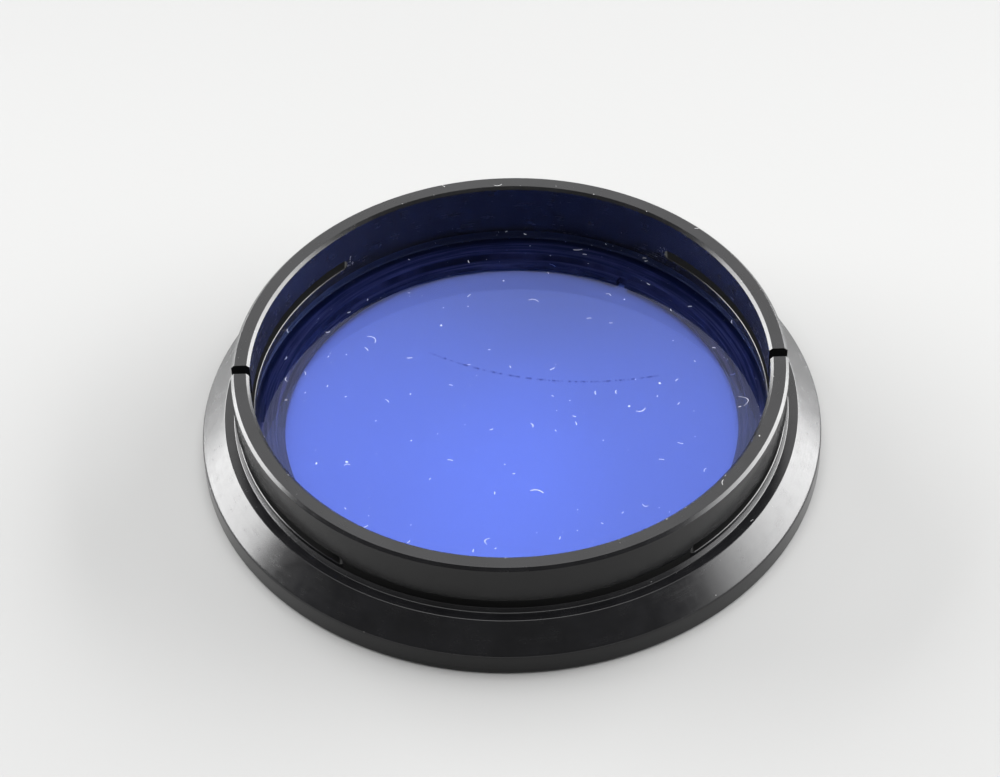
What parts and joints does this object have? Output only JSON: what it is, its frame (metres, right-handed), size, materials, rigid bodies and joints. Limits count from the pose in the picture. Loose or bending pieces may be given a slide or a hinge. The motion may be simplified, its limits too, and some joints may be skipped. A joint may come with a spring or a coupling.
{
  "type": "slip-on lens filter",
  "caption": "Round slip-on colour filter: a blue glass disc in a black turned mount with a flared rim and a slotted spring collar.",
  "frame": {"origin": "centre of the front face that the filter stands on", "axes": "+Z along the optical axis, from the flared front rim towards the collar's rim; the two saw cuts lie on the X axis"},
  "size_m": [0.051, 0.051, 0.0088],
  "materials": {
    "mount_black": "satin black anodised, finely turned",
    "ring_black": "matt black anodised, with turned rings",
    "filter_blue": "polished blue colour-filter glass"
  },
  "bodies": {
    "mount": {"mount_body": "mount_black", "filter_glass": "filter_blue", "retaining_ring": "ring_black"},
    "back_right_finger": {"finger_back_right": "mount_black"},
    "back_left_finger": {"finger_back_left": "mount_black"},
    "front_left_finger": {"finger_front_left": "mount_black"},
    "front_right_finger": {"finger_front_right": "mount_black"}
  },
  "joints": [
    {"name": "back_right_spring", "type": "hinge", "parent": "mount", "child": "back_right_finger", "pos_m": [0.01354, 0.01702, 0.0072], "axis": [0, 0, 1], "range_deg": [-0.6, 1.2], "stiffness_Nm_per_rad": 10},
    {"name": "back_left_spring", "type": "hinge", "parent": "mount", "child": "back_left_finger", "pos_m": [-0.01354, 0.01702, 0.0072], "axis": [0, 0, -1], "range_deg": [-0.6, 1.2], "stiffness_Nm_per_rad": 10},
    {"name": "front_left_spring", "type": "hinge", "parent": "mount", "child": "front_left_finger", "pos_m": [-0.01354, -0.01702, 0.0072], "axis": [0, 0, 1], "range_deg": [-0.6, 1.2], "stiffness_Nm_per_rad": 10},
    {"name": "front_right_spring", "type": "hinge", "parent": "mount", "child": "front_right_finger", "pos_m": [0.01354, -0.01702, 0.0072], "axis": [0, 0, -1], "range_deg": [-0.6, 1.2], "stiffness_Nm_per_rad": 10}
  ]
}
